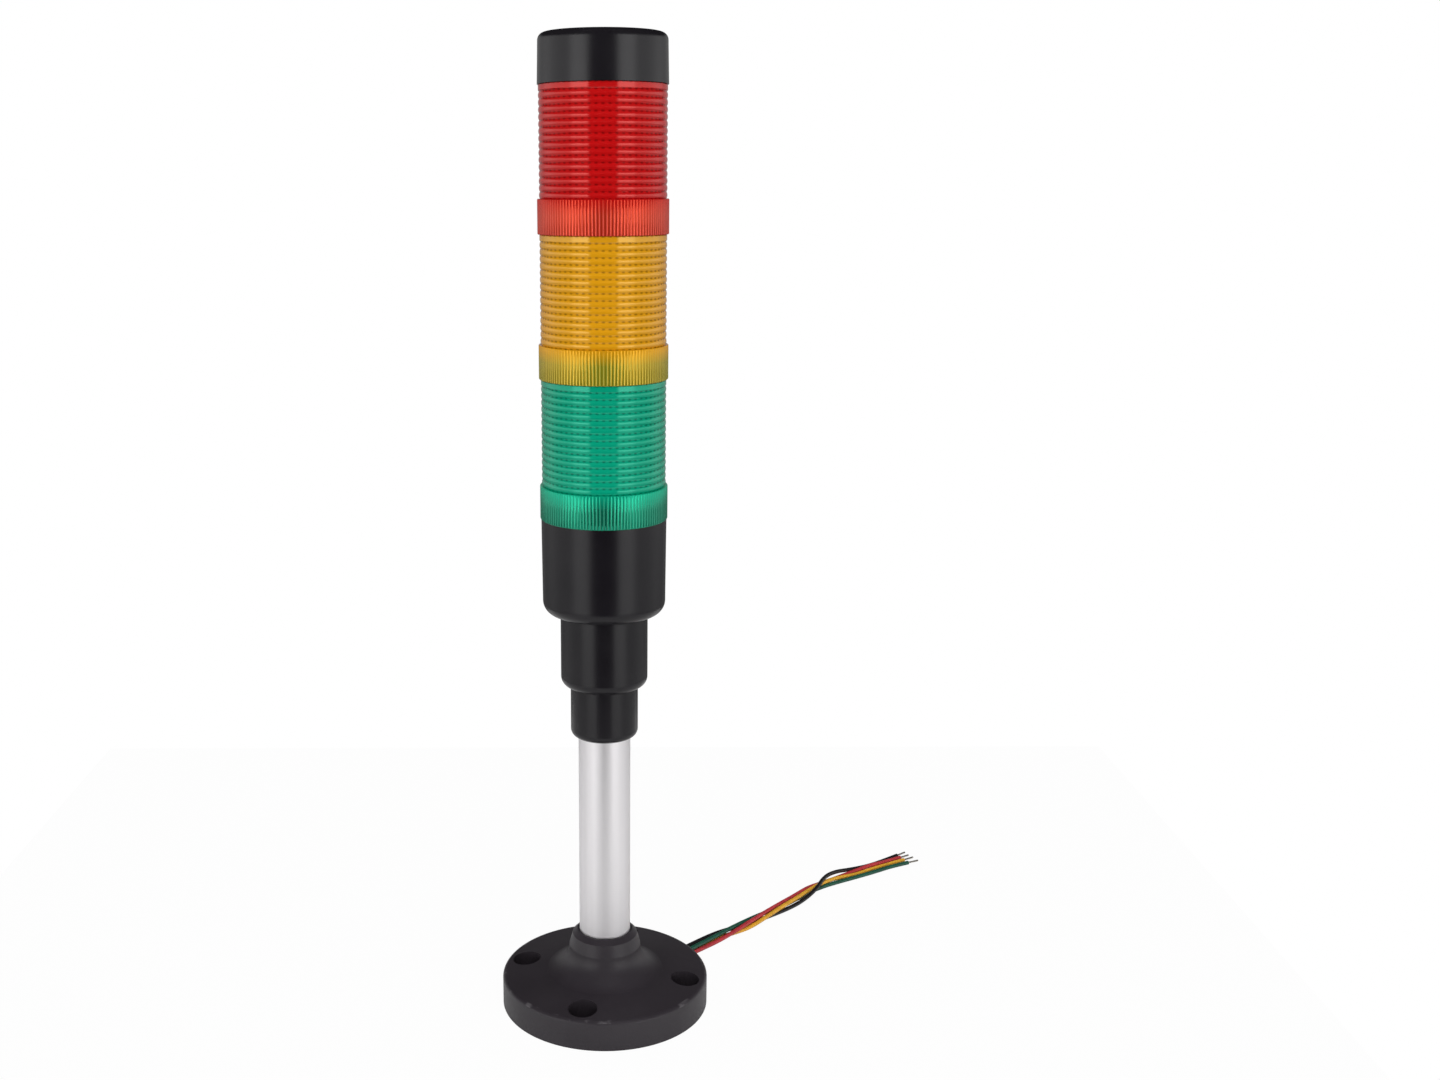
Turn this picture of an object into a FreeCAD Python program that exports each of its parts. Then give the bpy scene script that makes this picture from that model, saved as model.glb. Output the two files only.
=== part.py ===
import FreeCAD, Part
import math
import os

from FreeCAD import Vector

# A three-colour stack light on a pole, in millimetres, +Z up.
# The origin is the centre of the foot's underside.  Every round piece is turned about the Z axis.
# The light modules, from the bottom up, are green, amber and red.  Each twists off the unit below.

UP = Vector(0, 0, 1)
CENTRE = Vector(0, 0, 0)

# ---------------------------------------------------------------- driving dimensions: foot
FOOT_D = 85.4  # outside of the flange
RIM_TOP_H = 12.5
RIM_SHOULDER = (1.7, 1.6)  # rounding of the rim's upper edge: across, down
FLARE_D = 48.0  # where the top face starts to sweep up into the neck
FLARE_H = 14.2
NECK_LOW_D = 29.6  # the neck just above that sweep
NECK_LOW_H = 25.0
NECK_TOP_D = 26.8
LIP_BEVEL_H = 29.9
LIP_D = 23.0
NECK_H = 31.7
FOOT_WALL = 3.2  # top wall over the hollow underside
RIM_WALL = 3.0
CENTRE_WALL = 2.8  # ring under the tube's socket
SOCKET_FLOOR_H = 8.0  # the tube stands on a ledge at this height
LEDGE_T = 2.2

BOLT_INSET = 8.4  # the screws' axes from the flange's edge
BOLT_COUNT = 4
BOLT_FIRST_ANGLE = -15.0
BOLT_HOLE_D = 5.5
HEAD_POCKET_D = 11.8  # counterbore for the screw head
HEAD_POCKET_FLOOR = 4.0
BOLT_BOSS_WALL = 2.0

WIRE_BORE_D = 16.4  # the wires run down through the ledge and the housing's floor
WIRE_EXIT_ANGLE = 45.5  # direction of the wires' channel under the foot, from +X
WIRE_CHANNEL_W = 8.0
WIRE_NOTCH_W = 5.6
WIRE_NOTCH_H = 5.0
RIB_T = 1.6

# ---------------------------------------------------------------- driving dimensions: pole
TUBE_D = 21.0
TUBE_WALL = 1.6
TUBE_L = 126.7
TUBE_FIT = 0.05  # radial clearance in its two sockets
TUBE_INSERT = 18.0  # how far it goes into the housing
GRUB_D = 3.0
GRUB_FIT = 0.05
GRUB_L = 2.8
GRUB_KEY = 1.5  # across the flats of the hexagon socket
GRUB_KEY_DEPTH = 1.4
GRUB_TIP_GAP = 0.1
FOOT_GRUB_H = 27.0
HOUSING_GRUB_UP = 9.0  # above the housing's lower edge
GRUB_ANGLE = 90.0  # both are at the back

# ---------------------------------------------------------------- driving dimensions: housing
LOW_TIER_D = 27.1
LOW_TIER_H = 21.2
LOW_TIER_EDGE = (2.9, 2.9)  # rounding of its lower edge: across, up
MID_TIER_D = 34.8
MID_TIER_H = 30.4
MID_TIER_EDGE = (3.7, 4.0)
BARREL_TOP_STEP = 0.35  # how far the barrel's top lies inside the collars' outer surface
BARREL_DRAFT = 0.3  # how much further in its lower end is
BARREL_H = 38.5
BARREL_EDGE = (6.9, 5.2)
HOUSING_WALL = 2.4
POST_D = 6.0  # three posts carry the terminal board
POST_INSET = 2.6  # their axes from the spigot's inner wall

# ---------------------------------------------------------------- driving dimensions: modules
MODULE_PITCH = 54.9
COLLAR_D = 50.0  # everything from the barrel up follows this size
COLLAR_WALL = 2.3
COLLAR_H = 13.2
COLLAR_RIBS = 120  # grip ribs round the collar
RIB_DEPTH = 0.3
LENS_STEP = 0.75  # how far the lens body lies inside the collar's outer surface
LENS_RINGS = 8  # magnifying rings up the lens
RING_DEPTH = 0.4
LENS_PLAIN_TOP = 2.6  # plain band above the rings
LENS_WALL = 2.2
DECK_T = 1.6  # wall that joins the lens to its spigot
SPIGOT_WALL = 2.2
SPIGOT_H = 11.5
RIM_GAP = 1.0  # from a spigot's rim to the plate above it
SEAT_GAP = 0.1  # between two units that turn on each other
PLATE_T = 1.7
PLATE_FIT = 0.2
BEAD_H = 0.4  # snap beads that hold the plate up
BEAD_BITE = 0.2
BEAD_SPAN = 8.0  # degrees
BEAD_COUNT = 3

# ---------------------------------------------------------------- driving dimensions: twist lock
TWIST_FIT = 0.3  # running clearance all round
TWIST_RANGE = 18.0  # degrees, from locked to free
LUG_COUNT = 3
LUG_FIRST_ANGLE = 30.0
LUG_SPAN = 12.0  # degrees
LUG_REACH = 1.0
LUG_UP = 5.0
LUG_H = 2.5

# ---------------------------------------------------------------- driving dimensions: boards and lights
BOARD_T = 1.6
TOP_BOARD_SIDE_GAP = 0.7
TOP_BOARD_SINK = 1.0  # its upper face below the spigot's rim
LED_BOARD_W = 32.0
LED_SIZE = 5.0
LED_T = 1.6
LED_ROWS = 4
LED_ROW_PITCH = 10.0
LED_COLUMN_PITCH = 14.0
CONTACT_D = 2.2
CONTACT_INSET = 7.2  # the studs' axes from the spigot's inner wall
CONTACT_COUNT = 4
CONTACT_GAP = 0.3  # to the board below, which turns under it
SCREW_D = 2.6
SCREW_FIT = 0.05
SCREW_L = 6.0
SCREW_HEAD_D = 5.0
SCREW_HEAD_H = 0.7
SCREW_SLOT_W = 0.8
SCREW_SLOT_DEPTH = 0.4

# ---------------------------------------------------------------- driving dimensions: cap
CAP_STEP = 0.35  # how far its lower edge lies inside the collars' outer surface
CAP_DRAFT = 0.3
CAP_H = 18.5
CAP_EDGE = (2.4, 2.8)
CAP_WALL = 2.2

# ---------------------------------------------------------------- driving dimensions: wires
WIRE_D = 1.9
CORE_D = 0.9  # the stripped end
CORE_L = 6.0
BEND_SHARE = 0.45  # of the shorter run, taken by each bend

# Where each wire is soldered under the terminal board, as (x, y), and its corners from there as
# (x, y, z): down the pole, out under the foot's rim, then loosely twisted along the floor.
WIRE_PADS = {"black": (0.4, 3.3), "green": (3.3, 0.4), "red": (0.4, -2.4), "yellow": (-2.4, 0.4)}
WIRE_ROUTES = {
    "black": [
        (0.4, 3.3, 170.0), (-0.6, 1.2, 124.0), (0.4, 2.2, 80.0), (-1.8, 0.0, 45.9), (-3.0, -1.2, 26.1),
        (-2.2, -0.6, 14.5), (1.4, 3.1, 6.4), (7.5, 9.3, 3.2), (16.0, 17.9, 3.15), (25.8, 28.0, 3.2),
        (36.8, 38.5, 3.3), (48.4, 49.8, 3.1), (56.2, 56.7, 2.2), (64.7, 63.1, 1.0), (73.7, 70.1, 1.0),
        (83.6, 77.6, 1.0), (93.1, 86.2, 1.2), (101.3, 95.0, 3.4), (106.7, 105.3, 5.4),
        (113.4, 114.6, 3.8), (121.9, 121.3, 1.8), (131.2, 126.9, 1.0), (140.3, 133.1, 1.0),
        (148.4, 139.6, 1.0),
    ],
    "green": [
        (3.3, 0.4, 170.0), (1.2, -0.6, 124.0), (2.2, 0.5, 80.0), (0.0, -1.8, 45.9), (-1.2, -3.0, 26.1),
        (-0.5, -2.3, 14.5), (3.1, 1.4, 6.4), (9.1, 7.6, 3.2), (17.7, 16.3, 3.15), (27.5, 26.2, 3.2),
        (38.2, 36.4, 3.2), (49.9, 47.9, 3.3), (57.2, 55.2, 3.5), (64.8, 63.0, 3.2), (72.5, 71.5, 2.3),
        (81.5, 80.2, 1.0), (90.5, 89.0, 1.0), (98.8, 97.8, 1.0), (107.2, 104.6, 1.0),
        (116.1, 109.9, 1.0), (125.2, 115.1, 1.0), (134.5, 120.7, 1.0), (143.4, 126.7, 1.0),
        (152.5, 131.0, 1.0),
    ],
    "red": [
        (0.4, -2.4, 170.0), (-0.5, -2.3, 124.0), (0.5, -1.3, 80.0), (-1.8, -3.6, 46.1),
        (-2.9, -4.7, 25.9), (-2.0, -3.8, 13.7), (2.2, 0.5, 4.7), (8.9, 7.2, 1.1), (17.7, 16.2, 1.0),
        (27.6, 26.2, 1.0), (38.4, 36.1, 1.0), (50.7, 46.9, 1.2), (58.4, 53.5, 2.4), (66.2, 61.0, 3.5),
        (73.7, 70.0, 3.6), (81.8, 79.9, 3.2), (90.3, 89.1, 3.2), (97.9, 98.8, 2.8), (105.6, 106.6, 1.4),
        (114.0, 113.3, 1.1), (123.2, 119.1, 1.7), (132.1, 125.1, 2.3), (141.3, 131.0, 1.5),
        (149.6, 137.1, 1.0),
    ],
    "yellow": [
        (-2.4, 0.4, 170.0), (-2.3, -0.6, 124.0), (-1.4, 0.4, 80.0), (-3.5, -1.8, 46.1),
        (-4.7, -3.0, 25.9), (-3.8, -2.0, 13.7), (0.4, 2.2, 4.7), (7.1, 9.0, 1.1), (15.9, 18.0, 1.0),
        (25.8, 28.0, 1.0), (36.8, 38.4, 1.0), (49.0, 49.1, 1.0), (57.5, 54.8, 1.0), (66.4, 60.6, 1.0),
        (75.1, 68.5, 2.6), (83.5, 78.0, 3.2), (91.8, 87.5, 3.1), (99.4, 97.2, 3.0), (106.7, 105.1, 2.9),
        (115.1, 111.6, 2.1), (124.1, 117.1, 1.0), (132.9, 123.6, 1.0), (142.3, 129.0, 1.0),
        (151.0, 134.3, 1.0),
    ],
}

# ---------------------------------------------------------------- worked out from the above
RIM_R = FOOT_D / 2
BOLT_CIRCLE_R = RIM_R - BOLT_INSET
TUBE_R = TUBE_D / 2
SOCKET_R = TUBE_R + TUBE_FIT
TUBE_TOP_Z = SOCKET_FLOOR_H + TUBE_L
LOW_TIER_Z = TUBE_TOP_Z - TUBE_INSERT
MID_TIER_Z = LOW_TIER_Z + LOW_TIER_H
BARREL_Z = MID_TIER_Z + MID_TIER_H
FIRST_SEAT_Z = BARREL_Z + BARREL_H
CAP_SEAT_Z = FIRST_SEAT_Z + 3 * MODULE_PITCH
COLLAR_R = COLLAR_D / 2
COLLAR_BORE_R = COLLAR_R - COLLAR_WALL
SPIGOT_R = COLLAR_BORE_R - TWIST_FIT
SPIGOT_BORE_R = SPIGOT_R - SPIGOT_WALL
BARREL_TOP_R = COLLAR_R - BARREL_TOP_STEP
BARREL_LOW_R = BARREL_TOP_R - BARREL_DRAFT
CAP_LOW_R = COLLAR_R - CAP_STEP
CAP_TOP_R = CAP_LOW_R - CAP_DRAFT
TOP_BOARD_R = SPIGOT_BORE_R - TOP_BOARD_SIDE_GAP
POST_CIRCLE_R = SPIGOT_BORE_R - POST_INSET
CONTACT_CIRCLE_R = SPIGOT_BORE_R - CONTACT_INSET
LENS_R = COLLAR_R - LENS_STEP
LENS_BORE_R = LENS_R - LENS_WALL
LUG_R = SPIGOT_R + LUG_REACH
PLATE_UNDER_H = SPIGOT_H - SEAT_GAP + RIM_GAP  # heights with H are above a unit's own lower edge
PLATE_TOP_H = PLATE_UNDER_H + PLATE_T
BODY_TOP_H = MODULE_PITCH - SEAT_GAP
BOARD_FACE_UP = SPIGOT_H - TOP_BOARD_SINK  # a contact board's upper face above its spigot's foot
TOP_BOARD_UNDER_H = BODY_TOP_H + BOARD_FACE_UP - BOARD_T
CONTACT_LOW_H = BOARD_FACE_UP - SEAT_GAP + CONTACT_GAP
TERMINAL_BOARD_Z = FIRST_SEAT_Z - SEAT_GAP + BOARD_FACE_UP - BOARD_T


# ---------------------------------------------------------------- shared shapes
def turned(start, *steps):
    """A solid turned about Z.  A step is (r, z) for a line, or (r, z, middle_r, middle_z) for an arc."""
    first = here = Vector(start[0], 0, start[1])
    edges = []
    for step in steps:
        there = Vector(step[0], 0, step[1])
        if len(step) == 4:
            edges.append(Part.Arc(here, Vector(step[2], 0, step[3]), there).toShape())
        else:
            edges.append(Part.makeLine(here, there))
        here = there
    edges.append(Part.makeLine(here, first))
    return Part.Face(Part.Wire(edges)).revolve(CENTRE, UP, 360)


def arc_middle(free_end, wall_end):
    """Middle point of the arc that leaves a straight upright wall smoothly and ends at the free end."""
    (free_r, free_z), (wall_r, wall_z) = free_end, wall_end
    rise = free_z - wall_z
    centre_r = (free_r**2 - wall_r**2 + rise**2) / (2 * (free_r - wall_r))
    radius = abs(wall_r - centre_r)
    to_free = Vector(free_r - centre_r, 0, rise).normalize()
    to_wall = Vector(wall_r - centre_r, 0, 0).normalize()
    middle = (to_free + to_wall).normalize() * radius
    return centre_r + middle.x, wall_z + middle.z


def low_edge(wall_r, low_z, edge):
    """Two steps of a turned shape: to the start of a rounded lower edge, then up round it."""
    across, up = edge
    free_end, wall_end = (wall_r - across, low_z), (wall_r, low_z + up)
    return [free_end, wall_end + arc_middle(free_end, wall_end)]


def high_edge(wall_r, high_z, edge):
    """Two steps of a turned shape: to the start of a rounded upper edge, then in over it."""
    across, up = edge
    free_end, wall_end = (wall_r - across, high_z), (wall_r, high_z - up)
    return [wall_end, free_end + arc_middle(free_end, wall_end)]


def disc(radius, low, high, x=0.0):
    return Part.makeCylinder(radius, high - low, Vector(x, 0, low), UP)


def block(size_x, size_y, low, high, x=0.0, y=0.0):
    corner = Vector(x - size_x / 2, y - size_y / 2, low)
    return Part.makeBox(size_x, size_y, high - low, corner)


def sector(inner_r, outer_r, low, high, first_angle, last_angle):
    """Part of a ring, between two angles in degrees."""
    corners = [(inner_r, low), (outer_r, low), (outer_r, high), (inner_r, high), (inner_r, low)]
    face = Part.Face(Part.makePolygon([Vector(r, 0, z) for r, z in corners]))
    face.rotate(CENTRE, UP, first_angle)
    return face.revolve(CENTRE, UP, last_angle - first_angle)


def turned_by(shape, angle):
    copy = shape.copy()
    copy.rotate(CENTRE, UP, angle)
    return copy


def raised(shape, height):
    copy = shape.copy()
    copy.translate(Vector(0, 0, height))
    return copy


def spread(shape, count, first_angle=0.0):
    """That many copies of a shape, evenly round the Z axis."""
    return [turned_by(shape, first_angle + 360.0 * i / count) for i in range(count)]


def save(name, shape):
    shape.exportStep("parts/" + name + ".step")
    print(f"{name:20s} solids {len(shape.Solids):2d}  volume {shape.Volume:9.1f}")


# ---------------------------------------------------------------- twist lock, the same on every unit
def lock_lugs(seat_z):
    """Lugs on a spigot that stands on that height, each let into the spigot's wall."""
    low = seat_z + LUG_UP
    lug = sector(SPIGOT_R - SPIGOT_WALL / 2, LUG_R, low, low + LUG_H, -LUG_SPAN / 2, LUG_SPAN / 2)
    return spread(lug, LUG_COUNT, LUG_FIRST_ANGLE)


def lock_tracks():
    """What a collar loses for the lugs: L-shaped slots, open at its lower edge."""
    side_play = math.degrees(TWIST_FIT / LUG_R)
    half_span = LUG_SPAN / 2 + side_play
    inner_r = COLLAR_BORE_R - LUG_REACH
    outer_r = LUG_R + TWIST_FIT
    floor_h = LUG_UP - SEAT_GAP - TWIST_FIT
    roof_h = LUG_UP - SEAT_GAP + LUG_H + TWIST_FIT
    free_side = -TWIST_RANGE - half_span
    way_in = sector(inner_r, outer_r, -1.0, roof_h, free_side, free_side + 2 * half_span)
    way_round = sector(inner_r, outer_r, floor_h, roof_h, free_side, half_span)
    return spread(way_in.fuse(way_round), LUG_COUNT, LUG_FIRST_ANGLE)


# ---------------------------------------------------------------- foot
def radial_bar(length, width, low, high, offset=0.0):
    """A straight bar from the centre outwards, along +X, shifted sideways by the offset."""
    return Part.makeBox(length, width, high - low, Vector(0, offset - width / 2, low))


def foot_body():
    """The flange and neck, still solid."""
    flare_start, flare_end = (FLARE_D / 2, FLARE_H), (NECK_LOW_D / 2, NECK_LOW_H)
    return turned(
        (0, 0),
        (RIM_R, 0),
        *high_edge(RIM_R, RIM_TOP_H, RIM_SHOULDER),
        flare_start,
        flare_end + arc_middle(flare_start, flare_end),
        (NECK_TOP_D / 2, LIP_BEVEL_H),
        (LIP_D / 2, NECK_H),
        (0, NECK_H),
    )


def foot_hollow():
    """The hollow of the underside, which leaves the rim, screw bosses, ribs and the wires' walls."""
    ceiling = RIM_TOP_H - FOOT_WALL
    rim_inner_r = RIM_R - RIM_WALL
    hollow = disc(rim_inner_r, -1.0, ceiling).cut(disc(SOCKET_R + CENTRE_WALL, -1.0, ceiling))
    boss = disc(HEAD_POCKET_D / 2 + BOLT_BOSS_WALL, -1.0, ceiling, x=BOLT_CIRCLE_R)
    rib = radial_bar(rim_inner_r, RIB_T, -1.0, ceiling)
    rib_angle = BOLT_FIRST_ANGLE + 1.5 * 360.0 / BOLT_COUNT
    wall_offset = (WIRE_CHANNEL_W + RIB_T) / 2
    walls = [
        turned_by(radial_bar(rim_inner_r, RIB_T, -1.0, ceiling, offset), WIRE_EXIT_ANGLE)
        for offset in (-wall_offset, wall_offset)
    ]
    bosses = spread(boss, BOLT_COUNT, BOLT_FIRST_ANGLE)
    ribs = spread(rib, BOLT_COUNT, rib_angle)[:-1]  # the wires' walls take the last rib's place
    return hollow.cut(bosses + ribs + walls)


def mounting_foot():
    chamber_h = SOCKET_FLOOR_H - LEDGE_T
    channel = radial_bar(RIM_R - RIM_WALL, WIRE_CHANNEL_W, -1.0, WIRE_NOTCH_H)
    notch = radial_bar(RIM_R + 1.0, WIRE_NOTCH_W, -1.0, WIRE_NOTCH_H)
    pocket = disc(HEAD_POCKET_D / 2, HEAD_POCKET_FLOOR, NECK_H, x=BOLT_CIRCLE_R)
    bolt_hole = disc(BOLT_HOLE_D / 2, -1.0, NECK_H, x=BOLT_CIRCLE_R)
    cuts = [
        foot_hollow(),
        disc(SOCKET_R, SOCKET_FLOOR_H, NECK_H + 1.0),
        disc(WIRE_BORE_D / 2, chamber_h - 1.0, SOCKET_FLOOR_H + 1.0),
        disc(SOCKET_R, -1.0, chamber_h),
        turned_by(channel.fuse(notch), WIRE_EXIT_ANGLE),
        grub_hole(FOOT_GRUB_H),
    ]
    return foot_body().cut(cuts + spread(pocket.fuse(bolt_hole), BOLT_COUNT, BOLT_FIRST_ANGLE))


# ---------------------------------------------------------------- pole and its grub screws
def pole_tube():
    return disc(TUBE_R, SOCKET_FLOOR_H, TUBE_TOP_Z).cut(
        disc(TUBE_R - TUBE_WALL, SOCKET_FLOOR_H - 1.0, TUBE_TOP_Z + 1.0)
    )


def back_rod(radius, inner_r, outer_r, height):
    """A rod that points away from the pole's axis, at the grub screws' angle."""
    rod = Part.makeCylinder(radius, outer_r - inner_r, Vector(inner_r, 0, height), Vector(1, 0, 0))
    return turned_by(rod, GRUB_ANGLE)


def grub_hole(height):
    return back_rod(GRUB_D / 2 + GRUB_FIT, TUBE_R - TUBE_WALL / 2, MID_TIER_D / 2, height)


def grub_screw(height):
    tip_r = TUBE_R + GRUB_TIP_GAP
    end_r = tip_r + GRUB_L
    corner_r = GRUB_KEY / math.sqrt(3)
    corners = []
    for i in range(7):
        angle = math.radians(60 * i)
        corners.append(
            Vector(end_r - GRUB_KEY_DEPTH, corner_r * math.cos(angle), height + corner_r * math.sin(angle))
        )
    key = Part.Face(Part.makePolygon(corners)).extrude(Vector(GRUB_KEY_DEPTH + 1.0, 0, 0))
    return back_rod(GRUB_D / 2, tip_r, end_r, height).cut(turned_by(key, GRUB_ANGLE))


def pole_set_screws():
    heights = (FOOT_GRUB_H, LOW_TIER_Z + HOUSING_GRUB_UP)
    return Part.makeCompound([grub_screw(height) for height in heights])


# ---------------------------------------------------------------- housing
def screw_places(shape):
    """One copy of a shape at each of the three posts, halfway between the lugs."""
    return spread(shape, LUG_COUNT, LUG_FIRST_ANGLE + 180.0 / LUG_COUNT)


def base_housing():
    seat_z = FIRST_SEAT_Z - SEAT_GAP
    floor_z = BARREL_Z + HOUSING_WALL
    mid_floor_z = MID_TIER_Z + HOUSING_WALL
    barrel_bore_r = BARREL_LOW_R - HOUSING_WALL
    mid_bore_r = MID_TIER_D / 2 - HOUSING_WALL
    shell = turned(
        (SOCKET_R, LOW_TIER_Z),
        *low_edge(LOW_TIER_D / 2, LOW_TIER_Z, LOW_TIER_EDGE),
        (LOW_TIER_D / 2, MID_TIER_Z),
        *low_edge(MID_TIER_D / 2, MID_TIER_Z, MID_TIER_EDGE),
        (MID_TIER_D / 2, BARREL_Z),
        *low_edge(BARREL_LOW_R, BARREL_Z, BARREL_EDGE),
        (BARREL_TOP_R, seat_z),
        (SPIGOT_R, seat_z),
        (SPIGOT_R, seat_z + SPIGOT_H),
        (SPIGOT_BORE_R, seat_z + SPIGOT_H),
        (SPIGOT_BORE_R, seat_z - DECK_T),
        (barrel_bore_r, seat_z - DECK_T),
        (barrel_bore_r, floor_z),
        (mid_bore_r, floor_z),
        (mid_bore_r, mid_floor_z),
        (WIRE_BORE_D / 2, mid_floor_z),
        (WIRE_BORE_D / 2, TUBE_TOP_Z),
        (SOCKET_R, TUBE_TOP_Z),
    )
    post = disc(POST_D / 2, floor_z - HOUSING_WALL / 2, TERMINAL_BOARD_Z, x=POST_CIRCLE_R)
    pilot = disc(SCREW_D / 2 + SCREW_FIT, TERMINAL_BOARD_Z - SCREW_L, TERMINAL_BOARD_Z, x=POST_CIRCLE_R)
    body = shell.fuse(screw_places(post) + lock_lugs(seat_z))
    return body.cut(screw_places(pilot) + [grub_hole(LOW_TIER_Z + HOUSING_GRUB_UP)])


def terminal_board():
    """Round board in the housing's spigot: the wires come to it and the green module touches it."""
    board = disc(TOP_BOARD_R, TERMINAL_BOARD_Z, TERMINAL_BOARD_Z + BOARD_T)
    hole_r = SCREW_D / 2 + SCREW_FIT
    hole = disc(hole_r, TERMINAL_BOARD_Z - 1.0, TERMINAL_BOARD_Z + BOARD_T + 1.0, x=POST_CIRCLE_R)
    return board.cut(screw_places(hole))


def board_screws():
    top_z = TERMINAL_BOARD_Z + BOARD_T
    shank = disc(SCREW_D / 2, TERMINAL_BOARD_Z - SCREW_L + SCREW_D / 2, top_z, x=POST_CIRCLE_R)
    head = disc(SCREW_HEAD_D / 2, top_z, top_z + SCREW_HEAD_H, x=POST_CIRCLE_R)
    slot_low = top_z + SCREW_HEAD_H - SCREW_SLOT_DEPTH
    slot = block(SCREW_HEAD_D, SCREW_SLOT_W, slot_low, top_z + 2 * SCREW_HEAD_H, x=POST_CIRCLE_R)
    return Part.makeCompound(screw_places(head.fuse(shank).cut(slot)))


# ---------------------------------------------------------------- light module, from its lower edge
def grip_ribs():
    """What the collar loses between its ribs: a ring with a zigzag inside."""
    step = 360.0 / COLLAR_RIBS
    corners = []
    for i in range(2 * COLLAR_RIBS + 1):
        angle = math.radians(i * step / 2)
        radius = COLLAR_R - (RIB_DEPTH if i % 2 else 0.0)
        corners.append(Vector(radius * math.cos(angle), radius * math.sin(angle), 0))
    zigzag = Part.Face(Part.makePolygon(corners)).extrude(Vector(0, 0, COLLAR_H))
    return disc(COLLAR_R + 1.0, 0.0, COLLAR_H).cut(zigzag)


def lens():
    """One moulding: ribbed collar, ringed body, and the spigot that the next unit locks on."""
    groove_r = LENS_R - RING_DEPTH
    ring_pitch = (BODY_TOP_H - LENS_PLAIN_TOP - COLLAR_H) / LENS_RINGS
    rings = []
    for i in range(LENS_RINGS):
        low = COLLAR_H + i * ring_pitch
        rings += [(groove_r, low), (LENS_R, low + ring_pitch / 2)]
    body = turned(
        (COLLAR_BORE_R, 0),
        (COLLAR_R, 0),
        (COLLAR_R, COLLAR_H),
        *rings,
        (groove_r, BODY_TOP_H - LENS_PLAIN_TOP),
        (LENS_R, BODY_TOP_H - LENS_PLAIN_TOP),
        (LENS_R, BODY_TOP_H),
        (SPIGOT_R, BODY_TOP_H),
        (SPIGOT_R, BODY_TOP_H + SPIGOT_H),
        (SPIGOT_BORE_R, BODY_TOP_H + SPIGOT_H),
        (SPIGOT_BORE_R, BODY_TOP_H - DECK_T),
        (LENS_BORE_R, BODY_TOP_H - DECK_T),
        (LENS_BORE_R, PLATE_TOP_H),
        (COLLAR_BORE_R, PLATE_TOP_H),
    )
    bead = sector(
        COLLAR_BORE_R - PLATE_FIT - BEAD_BITE,
        COLLAR_BORE_R + TWIST_FIT,
        PLATE_UNDER_H - BEAD_H,
        PLATE_UNDER_H,
        -BEAD_SPAN / 2,
        BEAD_SPAN / 2,
    )
    whole = body.fuse(lock_lugs(BODY_TOP_H) + spread(bead, BEAD_COUNT))
    return whole.cut([grip_ribs()] + lock_tracks())


def base_plate():
    """Moulded disc that the module's boards stand on, held up against a step by the snap beads."""
    return disc(COLLAR_BORE_R - PLATE_FIT, PLATE_UNDER_H, PLATE_TOP_H)


def contacts():
    """Sprung studs under the plate.  They rub on the contact board below as the module turns."""
    stud = disc(CONTACT_D / 2, CONTACT_LOW_H, PLATE_UNDER_H, x=CONTACT_CIRCLE_R)
    return Part.makeCompound(spread(stud, CONTACT_COUNT))


def led_board():
    return block(LED_BOARD_W, BOARD_T, PLATE_TOP_H, TOP_BOARD_UNDER_H)


def leds():
    """Square light packages in rows on both faces of the upright board."""
    middle = (PLATE_TOP_H + BODY_TOP_H - DECK_T) / 2
    lights = []
    for row in range(LED_ROWS):
        low = middle + (row - (LED_ROWS - 1) / 2) * LED_ROW_PITCH - LED_SIZE / 2
        for x in (-LED_COLUMN_PITCH / 2, LED_COLUMN_PITCH / 2):
            for side in (-1, 1):
                y = side * (BOARD_T + LED_T) / 2
                lights.append(block(LED_SIZE, LED_T, low, low + LED_SIZE, x=x, y=y))
    return Part.makeCompound(lights)


def top_board():
    """Round board in the spigot's mouth, which carries the lines on to the unit above."""
    return disc(TOP_BOARD_R, TOP_BOARD_UNDER_H, TOP_BOARD_UNDER_H + BOARD_T)


def save_modules():
    pieces = {
        "lens": lens(),
        "base_plate": base_plate(),
        "contacts": contacts(),
        "led_board": led_board(),
        "leds": leds(),
        "top_board": top_board(),
    }
    for level, colour in enumerate(("green", "amber", "red")):
        for name, piece in pieces.items():
            save(colour + "_" + name, raised(piece, FIRST_SEAT_Z + level * MODULE_PITCH))


# ---------------------------------------------------------------- cap
def top_cap():
    cap = turned(
        (COLLAR_BORE_R, 0),
        (CAP_LOW_R, 0),
        *high_edge(CAP_TOP_R, CAP_H, CAP_EDGE),
        (0, CAP_H),
        (0, CAP_H - CAP_WALL),
        (COLLAR_BORE_R, CAP_H - CAP_WALL),
    )
    return raised(cap.cut(lock_tracks()), CAP_SEAT_Z)


# ---------------------------------------------------------------- wires
def wire_path(points):
    """Straight runs joined by arcs as large as the shorter run of each pair allows."""
    edges, radii = [], []
    here = points[0]
    for before, corner, after in zip(points, points[1:], points[2:]):
        back, ahead = before - corner, after - corner
        reach = BEND_SHARE * min(back.Length, ahead.Length)
        half_turn = (math.pi - back.getAngle(ahead)) / 2
        back.normalize()
        ahead.normalize()
        radius = reach / math.tan(half_turn)
        inward = (back + ahead).normalize()
        start, end = corner + back * reach, corner + ahead * reach
        middle = corner + inward * (radius / math.cos(half_turn) - radius)
        edges += [Part.makeLine(here, start), Part.Arc(start, middle, end).toShape()]
        radii.append(radius)
        here = end
    edges.append(Part.makeLine(here, points[-1]))
    return Part.Wire(edges), min(radii)


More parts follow.
